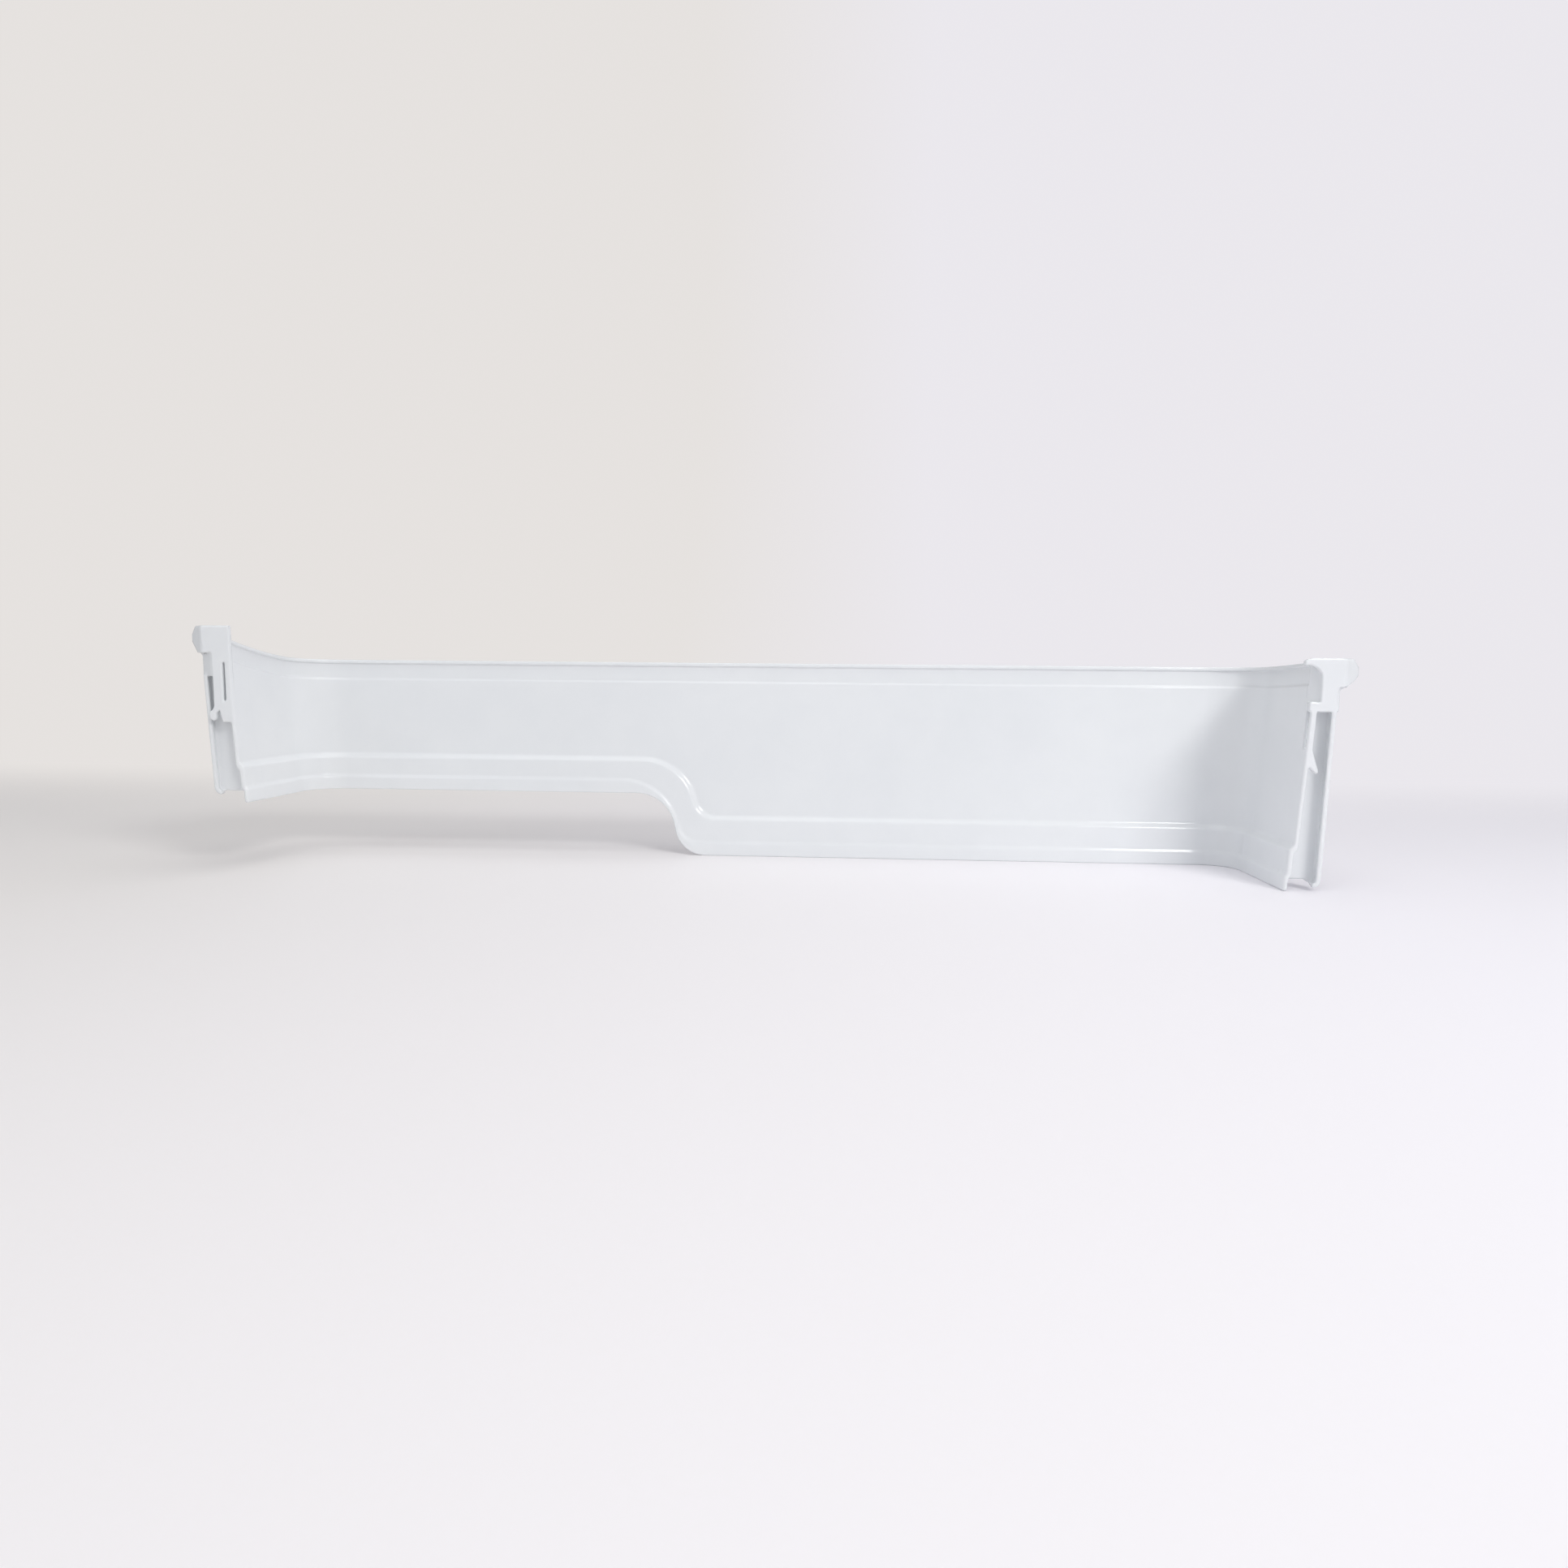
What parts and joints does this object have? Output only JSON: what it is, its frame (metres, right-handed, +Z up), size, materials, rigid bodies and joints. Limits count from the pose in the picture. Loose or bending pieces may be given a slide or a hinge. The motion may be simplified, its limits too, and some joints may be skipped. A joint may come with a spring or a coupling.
{
  "type": "refrigerator door bar",
  "caption": "White moulded door bar: a long leaning wall with a stepped bottom edge and a rolled rim, turned back at both ends into slide-on brackets.",
  "frame": {"origin": "on the floor, under the middle of the bounding box", "axes": "+X along the bar toward the deeper end, +Y toward the outer face, +Z up"},
  "size_m": [0.64, 0.0884, 0.137],
  "materials": {
    "white_plastic": "glossy injection-moulded white plastic"
  },
  "bodies": {
    "root": {"door_bar": "white_plastic"}
  },
  "joints": []
}
